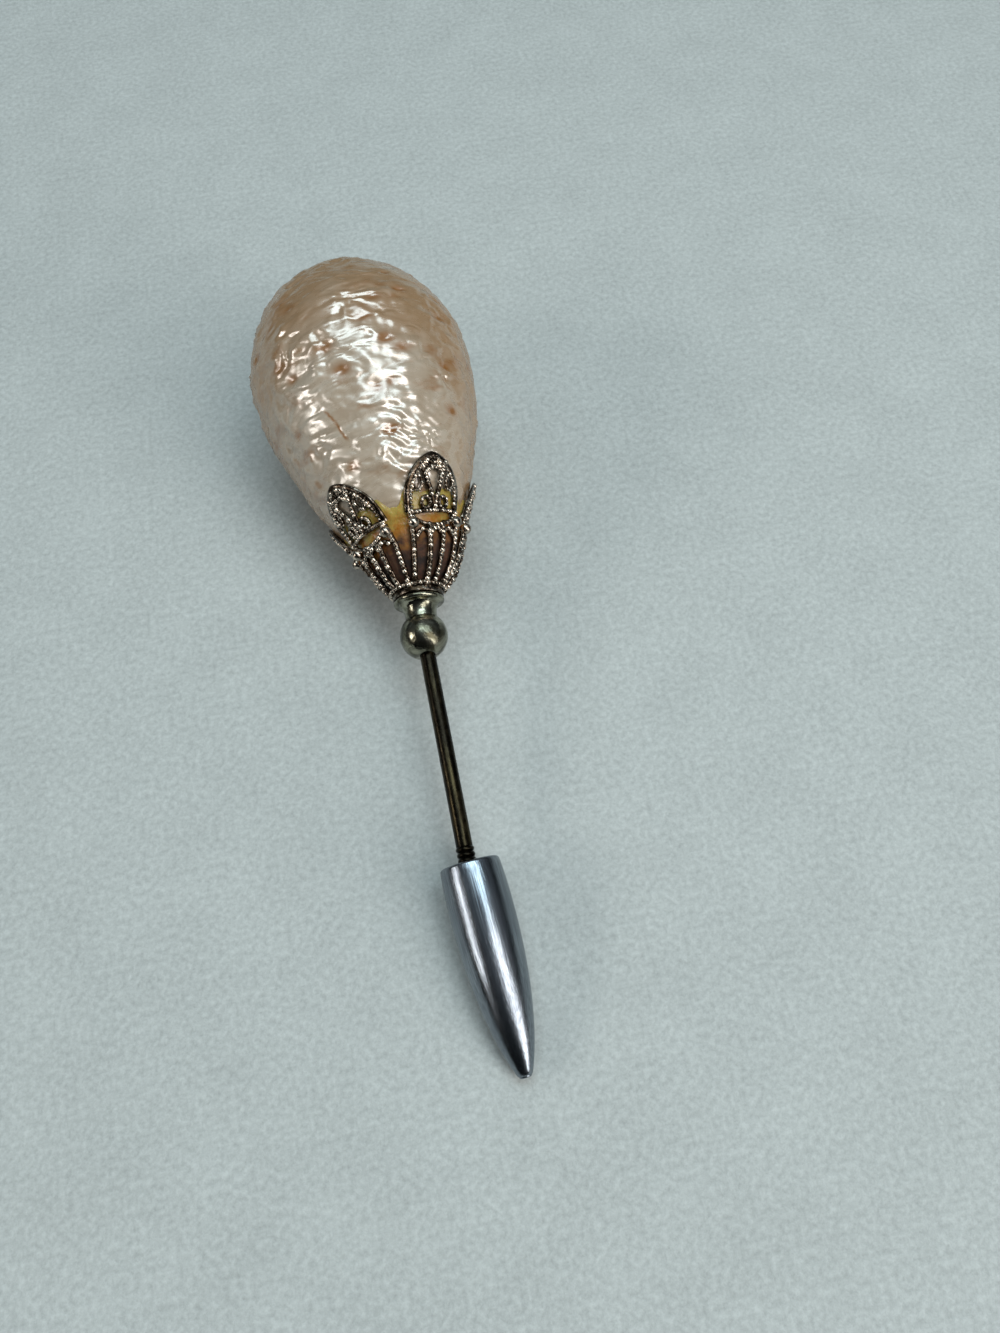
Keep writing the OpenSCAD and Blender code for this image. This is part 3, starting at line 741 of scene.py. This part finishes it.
def cap_material(cap):
    material, tree, shader = new_material("antique_silver", metallic=1.0, roughness=0.22)
    where = local_place(tree, PEARL, (MM, MM, MM))
    shine = add(tree, "ShaderNodeAttribute", attribute_name="shine").outputs["Fac"]
    grime = clouds(tree, where, 2.2, 4.0, 0.6)
    # Wires and the collar have low tones and the beads random ones, so the wires are mostly the recess colour; clouds
    # make this lighter or darker in blotches
    tones = add(tree, "ShaderNodeMath", operation="ADD", inputs={0: shine, 1: span(tree, grime, 0.3, 0.7, -0.35, 0.25)})
    share = span(tree, tones.outputs[0], 0.2, 0.85)
    plug(tree, shader.inputs["Base Color"], blended(tree, share, cap.recess, cap.silver))
    plug(tree, shader.inputs["Roughness"], span(tree, grime, 0.3, 0.7, 0.24, 0.09))
    bumped(tree, shader, clouds(tree, where, 7.0, 3.0), 0.03 * MM)
    return material


# Cement

def make_cement(cement, cap, skin, pearl):
    foot = cement.gap - cap.bell
    under = cap.wire + 2 * cement.gap
    top = cement.height
    outer = [(skin.radius(h, under), h) for h in (between(foot, 0, q) for q in shares(16))]
    outer += [(1, top * q) for q in shares(14)[1:]]
    inner = [(0, between(top, 0, q)) for q in shares(8)]
    inner += [(0, -(pearl.seat - cement.gap) * q ** 0.7) for q in shares(10)[1:]]
    rows = outer + inner
    mesh = lathe([(MM * (index + 1), 0) for index in range(len(rows))], 180, closed=True)
    for vert in mesh.verts:
        index = round(vert.co.xy.length / MM) - 1
        azimuth = math.degrees(math.atan2(vert.co.x, -vert.co.y))
        radius, height = rows[index]
        turn = Vector((math.sin(math.radians(azimuth)), math.cos(math.radians(azimuth)), 0))
        wave = 0.4 * MM * noise.noise(turn * 5) + 0.25 * MM * noise.noise(turn * 14)
        beside = min(abs((azimuth - centre + 180) % 360 - 180) for centre in petal_centres(cap))
        climb = 0.55 * MM * eased(34, 26, beside) if beside > 20 else 0.55 * MM
        scale = (top + wave + climb) / top
        if index < len(outer):
            if height > 0:
                share = height / top
                height *= scale
                thick = cement.thickness * (1 - share ** 5) + 0.05 * MM * noise.noise(turn * 9 + Vector((0, 0, height / MM * 2)))
                stretch = math.hypot(1, skin.slope(height))
                radius = egg_radius(pearl, height) + (cement.gap + max(0.01 * MM, thick)) * stretch
            vert.co = skin.turned(height, around(azimuth, radius, height))
        else:
            if height > 0:
                height *= scale
            radius = max(pearl.bore / 2, egg_radius(pearl, height) + cement.gap * 0.4)
            vert.co = PEARL @ around(azimuth, radius, height)
    return mesh


def cement_material(cement):
    material, tree, shader = new_material(
        "amber_cement", roughness=0.4, subsurface_weight=0.25, subsurface_scale=0.6 * MM)
    where = local_place(tree, PEARL, (MM, MM, MM))
    height = add(tree, "ShaderNodeSeparateXYZ", inputs={"Vector": where}).outputs["Z"]
    uneven = add(tree, "ShaderNodeMath", operation="ADD", inputs={
        0: height, 1: span(tree, clouds(tree, where, 0.9, 3.0), 0.3, 0.7, -0.8, 0.8)})
    # Painted shade: the cement is painted dark towards the foot of the bell, under the wires, in darker and lighter
    # blotches
    deep = span(tree, uneven.outputs[0], -2.0, -0.7)
    high = span(tree, uneven.outputs[0], -0.5, 0.6)
    shade_blotches = span(tree, clouds(tree, where, 0.8, 4.0, 0.6), 0.4, 0.58)
    dark = blended(tree, shade_blotches, [part * 0.2 for part in cement.depth], cement.depth)
    shades = blended(tree, high, blended(tree, deep, dark, cement.amber), cement.top)
    plug(tree, shader.inputs["Base Color"], shades)
    plug(tree, shader.inputs["Roughness"], span(tree, height, -1.6, -0.6, 0.85, 0.25))
    bumped(tree, shader, clouds(tree, where, 2.5, 3.0), 0.08 * MM)
    return material


# Finial, stem and guard

def make_finial(finial):
    ball, neck = finial.ball / 2, finial.neck / 2
    bore = 0.48 * MM
    foot_height = math.sqrt(ball ** 2 - (finial.foot / 2) ** 2)
    start, stop = -math.asin(foot_height / ball), math.acos(neck / ball)
    edge = finial.flange_height / 2
    under = finial.height - finial.flange_height
    neck_at = math.sqrt(ball ** 2 - neck ** 2) + edge
    reach = finial.flange / 2 - edge
    profile = [(bore, -foot_height)]
    profile += [(ball * math.cos(a), ball * math.sin(a)) for a in (between(start, stop, q) for q in shares(40))]
    profile += [(reach - (reach - neck) * math.cos(a), neck_at + (under - neck_at) * math.sin(a))
                for a in (math.pi / 2 * q for q in shares(20))]
    profile += [(reach + edge * math.cos(a), under + edge + edge * math.sin(a))
                for a in (math.pi * q - math.pi / 2 for q in shares(14))]
    profile += [(bore, finial.height)]
    mesh = lathe(profile, 112, closed=True)
    for vert in mesh.verts:
        if vert.co.xy.length > bore * 1.2:
            vert.co *= 1 + 0.006 * noise.noise(vert.co / MM * 0.9)
    bmesh.ops.transform(mesh, matrix=FITTING, verts=mesh.verts)
    return mesh


def finial_material(finial):
    material, tree, shader = new_material("tarnished_metal", metallic=1.0, roughness=0.25)
    where = local_place(tree, FITTING, (MM, MM, MM))
    stains = clouds(tree, where, 0.8, 5.0, 0.6, 0.8)
    share = span(tree, stains, 0.38, 0.62)
    plug(tree, shader.inputs["Base Color"], blended(tree, share, finial.tarnish, finial.metal))
    plug(tree, shader.inputs["Roughness"], span(tree, stains, 0.35, 0.65, 0.3, 0.1))
    bumped(tree, shader, clouds(tree, where, 3.5, 4.0), 0.025 * MM)
    return material


def make_stem(stem):
    thick, thin = stem.width / 2, stem.tail_width / 2
    rings_from = -3 * stem.pitch
    shoulder = stem.shown - 0.03 * MM
    profile = [(0, -stem.point), (thin * 0.4, stem.taper * 0.5 - stem.point), (thin * 0.8, stem.taper - stem.point)]
    groove = thick - stem.proud / 2
    profile += [(thin, rings_from - stem.pitch)]
    profile += [(groove + stem.proud * 1.5 * abs(math.sin(math.pi * step / 8)), rings_from + stem.pitch * step / 8)
                for step in range(6 * 8 + 1)]
    rings_to = rings_from + 6 * stem.pitch
    profile += [(thick, between(rings_to, shoulder, q)) for q in shares(30)]
    profile += [(thin, shoulder), (thin * 0.9, stem.shown + stem.tail), (0, stem.shown + stem.tail)]
    mesh = lathe(profile, 64)
    bmesh.ops.transform(mesh, matrix=STEM, verts=mesh.verts)
    return mesh


def stem_material(stem):
    material, tree, shader = new_material("dark_stem", metallic=1.0, roughness=0.28)
    streaks = clouds(tree, local_place(tree, STEM, (0.35 * MM, 0.35 * MM, 4 * MM)), 1.0, 4.0, 0.6)
    spots = clouds(tree, local_place(tree, STEM, (0.3 * MM, 0.3 * MM, 0.5 * MM)), 1.0, 3.0)
    height = add(tree, "ShaderNodeSeparateXYZ", inputs={
        "Vector": local_place(tree, STEM, (MM, MM, MM))}).outputs["Z"]
    # Brass shows in streaks, which fade out between 1.8 and 0.6 mm above the guard's mouth, so the stem is black near
    # the guard
    bare = add(tree, "ShaderNodeMath", operation="MULTIPLY", inputs={
        0: span(tree, streaks, 0.45, 0.63), 1: span(tree, height, 0.6, 1.8)}).outputs[0]
    plug(tree, shader.inputs["Base Color"], blended(tree, bare, stem.black, stem.brass))
    plug(tree, shader.inputs["Roughness"], span(tree, spots, 0.3, 0.7, 0.2, 0.4))
    bumped(tree, shader, spots, 0.02 * MM)
    return material


GUARD_TAPER = 0.77
GUARD_ROUND = 2.25


def guard_radius(guard, depth):
    """Outer radius of the guard at a depth from its mouth"""
    if depth < guard.bulge:
        return guard.width / 2 - guard.mouth_in * ((guard.bulge - depth) / guard.bulge) ** 2
    tip_share = (1 - (guard.tip / guard.width) ** (1 / GUARD_TAPER)) ** (1 / GUARD_ROUND)
    run = (guard.length - guard.bulge) / tip_share
    return guard.width / 2 * (1 - ((depth - guard.bulge) / run) ** GUARD_ROUND) ** GUARD_TAPER


def make_guard(guard):
    edge = guard.edge
    mouth = guard_radius(guard, 0)
    hollow = guard.length - guard.wall * 4
    bore = guard.width / 2 - guard.mouth_in - guard.wall - edge / 4 + 0.03 * MM
    tip_edge = 0.12 * MM
    profile = [(0, guard.length)]
    profile += [(guard.tip / 2 - tip_edge + tip_edge * math.sin(a), guard.length - tip_edge + tip_edge * math.cos(a))
                for a in (math.pi / 2 * q for q in shares(5))]
    profile += [(guard_radius(guard, d), d)
                for d in (between(guard.length - tip_edge * 1.6, edge * 2, q) for q in shares(70))]
    profile += [(mouth - edge + edge * math.cos(a), edge - edge * math.sin(a))
                for a in (math.pi / 2 * q for q in shares(10))]
    profile += [(bore, 0), (bore, guard.bulge + guard.wall)]
    profile += [(guard_radius(guard, d) - guard.wall, d)
                for d in (between(guard.bulge + guard.wall * 1.2, hollow, q) for q in shares(20))]
    profile += [(0, hollow)]
    mesh = lathe(profile, 128)
    bmesh.ops.transform(mesh, matrix=GUARD, verts=mesh.verts)
    for vert in mesh.verts:
        vert.co.z = max(vert.co.z, 0)
    return mesh


def guard_material(guard):
    material, tree, shader = new_material("satin_silver", metallic=1.0, roughness=0.22)
    brushed = clouds(tree, local_place(tree, GUARD, (0.09 * MM, 0.09 * MM, 5 * MM)), 1.0, 4.0, 0.6)
    worn = clouds(tree, local_place(tree, GUARD, (1.4 * MM, 1.4 * MM, 5 * MM)), 1.0, 3.0, 0.5)
    share = span(tree, brushed, 0.34, 0.62)
    silver = blended(tree, span(tree, worn, 0.35, 0.65, 0.0, 0.4), guard.silver, guard.dull)
    plug(tree, shader.inputs["Base Color"], blended(tree, share, guard.dull, silver))
    plug(tree, shader.inputs["Roughness"], span(tree, worn, 0.3, 0.7, 0.16, 0.28))
    bumped(tree, shader, brushed, 0.01 * MM)
    return material


def insert_material():
    material, tree, shader = new_material("black_rubber", roughness=0.6)
    where = local_place(tree, GUARD, (MM, MM, MM))
    grain = clouds(tree, where, 4.0, 4.0)
    shades = blended(tree, grain, (0.012, 0.012, 0.013), (0.035, 0.035, 0.036))
    plug(tree, shader.inputs["Base Color"], shades)
    bumped(tree, shader, grain, 0.03 * MM)
    return material


# Stage

def floor_material(stage):
    material, tree, shader = new_material("floor_surface", roughness=0.75)
    where = add(tree, "ShaderNodeTexCoord").outputs["Object"]
    mottle = clouds(tree, where, 170.0, 5.0, 0.65)
    fibres = clouds(tree, where, 2200.0, 3.0, 0.7)
    mixed = add(tree, "ShaderNodeMath", operation="ADD", inputs={
        0: span(tree, mottle, 0.3, 0.7, 0.0, 0.22), 1: span(tree, fibres, 0.3, 0.7, 0.0, 0.78)})
    darker = [part * 0.76 for part in stage.floor]
    lighter = [min(1, part * 1.18) for part in stage.floor]
    plug(tree, shader.inputs["Base Color"], blended(tree, mixed.outputs[0], darker, lighter))
    bumped(tree, shader, fibres, 0.05 * MM)
    return material


def area_light(name, place, aim, width, height, power, tint):
    data = bpy.data.lights.new(name, "AREA")
    data.shape = "RECTANGLE"
    data.size, data.size_y, data.energy, data.color = width, height, power, tint
    light = bpy.data.objects.new(name, data)
    light.location = place
    light.rotation_euler = (Vector(aim) - Vector(place)).to_track_quat("-Z", "Y").to_euler()
    bpy.context.scene.collection.objects.link(light)


def studio_world(horizon, zenith, tint, dark_side, wall):
    """A soft room, dark at the horizon and on one side, and lighter overhead, seen as a pale wall"""
    world = bpy.data.worlds.new("studio")
    world.use_nodes = True
    tree = world.node_tree
    background = tree.nodes["Background"]
    where = add(tree, "ShaderNodeTexCoord").outputs["Generated"]
    height = add(tree, "ShaderNodeSeparateXYZ", inputs={"Vector": where}).outputs["Z"]
    toward = add(tree, "ShaderNodeVectorMath", operation="DOT_PRODUCT", inputs={0: where, 1: dark_side}).outputs["Value"]
    light = add(tree, "ShaderNodeMath", operation="MULTIPLY", inputs={
        0: span(tree, height, 0.2, 0.85, horizon, zenith), 1: span(tree, toward, 0.15, 0.6, 1.0, 0.15)})
    seen = add(tree, "ShaderNodeLightPath").outputs["Is Camera Ray"]
    plug(tree, background.inputs["Strength"], add(tree, "ShaderNodeMix", inputs={
        0: seen, 2: light.outputs[0], 3: wall}).outputs[0])
    plug(tree, background.inputs["Color"], (*tint, 1))
    return world


def make_stage(stage):
    mesh = bmesh.new()
    bmesh.ops.create_grid(mesh, x_segments=2, y_segments=2, size=2.0)
    data = bpy.data.meshes.new("floor")
    mesh.to_mesh(data)
    mesh.free()
    data.materials.append(floor_material(stage))
    floor = bpy.data.objects.new("floor", data)
    bpy.context.scene.collection.objects.link(floor)

    area_light("key", (0.26, -0.225, 0.3), (0, 0.01, 0), 0.17, 0.55, 1.75, (1.0, 0.98, 0.95))
    area_light("side", (-0.41, -0.04, 0.24), (0, 0.01, 0), 0.26, 0.1, 0.62, (1.0, 0.97, 0.93))
    area_light("overhead", (0.05, 0.10, 0.46), (0, 0.01, 0), 0.42, 0.2, 1.25, (0.75, 0.93, 1.0))
    bpy.context.scene.world = studio_world(0.04, 0.26, (0.76, 0.87, 0.95), (-0.65, -0.75, 0.1), 0.3)
    bpy.context.scene.view_settings.view_transform = "Standard"

    lens = bpy.data.cameras.new("camera")
    lens.lens = stage.lens
    lens.sensor_width = 36
    lens.clip_start = MM
    camera = bpy.data.objects.new("camera", lens)
    camera.location = stage.camera
    camera.rotation_euler = stage.aim
    bpy.context.scene.collection.objects.link(camera)
    bpy.context.scene.camera = camera


# Operators

class MakePearl(bpy.types.Operator):
    """Make the wrinkled pearl"""
    bl_idname = "stick_pin.pearl"
    bl_label = "Pearl"

    def execute(self, context):
        pearl = context.scene.pin_pearl
        finished(make_pearl(pearl), "baroque_pearl", pearl_material(pearl), "pearl")
        return {"FINISHED"}


class MakeCement(bpy.types.Operator):
    """Make the amber cement between the petals"""
    bl_idname = "stick_pin.cement"
    bl_label = "Cement"

    def execute(self, context):
        scene = context.scene
        skin = CapSkin(scene.pin_cap, scene.pin_pearl)
        mesh = make_cement(scene.pin_cement, scene.pin_cap, skin, scene.pin_pearl)
        finished(mesh, "cement_skirt", cement_material(scene.pin_cement), "cement", sharp=180)
        return {"FINISHED"}


class MakeCap(bpy.types.Operator):
    """Make the pierced and beaded cap"""
    bl_idname = "stick_pin.cap"
    bl_label = "Filigree cap"

    def execute(self, context):
        scene = context.scene
        mesh = make_cap(scene.pin_cap, CapSkin(scene.pin_cap, scene.pin_pearl))
        finished(mesh, "beaded_cap", cap_material(scene.pin_cap), "filigree_cap", sharp=80)
        return {"FINISHED"}


class MakeFinial(bpy.types.Operator):
    """Make the turned ball, neck and flange"""
    bl_idname = "stick_pin.finial"
    bl_label = "Finial"

    def execute(self, context):
        finial = context.scene.pin_finial
        finished(make_finial(finial), "turned_finial", finial_material(finial), "finial")
        return {"FINISHED"}


class MakeStem(bpy.types.Operator):
    """Make the dark stem with its grip rings"""
    bl_idname = "stick_pin.stem"
    bl_label = "Stem"

    def execute(self, context):
        stem = context.scene.pin_stem
        finished(make_stem(stem), "dark_pin", stem_material(stem), "pin_stem", sharp=60)
        return {"FINISHED"}


class MakeGuard(bpy.types.Operator):
    """Make the silver guard and give its insert a finish"""
    bl_idname = "stick_pin.guard"
    bl_label = "Guard"

    def execute(self, context):
        guard = context.scene.pin_guard
        finished(make_guard(guard), "silver_guard", guard_material(guard), "guard")
        insert = frame["nodes"]["guard_insert"]
        insert.data.materials.clear()
        insert.data.materials.append(insert_material())
        return {"FINISHED"}


class MakeStage(bpy.types.Operator):
    """Make the floor, the lights and the camera"""
    bl_idname = "stick_pin.stage"
    bl_label = "Stage"

    def execute(self, context):
        make_stage(context.scene.pin_stage)
        return {"FINISHED"}


class StickPinPanel(bpy.types.Panel):
    """Lists the pieces of the stick pin"""
    bl_idname = "VIEW3D_PT_stick_pin"
    bl_label = "Stick Pin"
    bl_space_type = "VIEW_3D"
    bl_region_type = "UI"
    bl_category = "Stick Pin"

    def draw(self, context):
        for operator in OPERATORS:
            self.layout.operator(operator.bl_idname)


SETTINGS = {
    "pin_pearl": PearlSettings,
    "pin_cement": CementSettings,
    "pin_cap": CapSettings,
    "pin_finial": FinialSettings,
    "pin_stem": StemSettings,
    "pin_guard": GuardSettings,
    "pin_stage": StageSettings,
}
OPERATORS = (MakePearl, MakeCement, MakeCap, MakeFinial, MakeStem, MakeGuard, MakeStage)


def register():
    for group in (*SETTINGS.values(), *OPERATORS, StickPinPanel):
        bpy.utils.register_class(group)
    for name, group in SETTINGS.items():
        setattr(bpy.types.Scene, name, PointerProperty(type=group))


def unregister():
    for name in SETTINGS:
        delattr(bpy.types.Scene, name)
    for group in (StickPinPanel, *reversed(OPERATORS), *SETTINGS.values()):
        bpy.utils.unregister_class(group)


def main():
    register()
    for operator in OPERATORS:
        getattr(bpy.ops.stick_pin, operator.bl_idname.split(".")[1])()


if __name__ == "__main__":
    main()
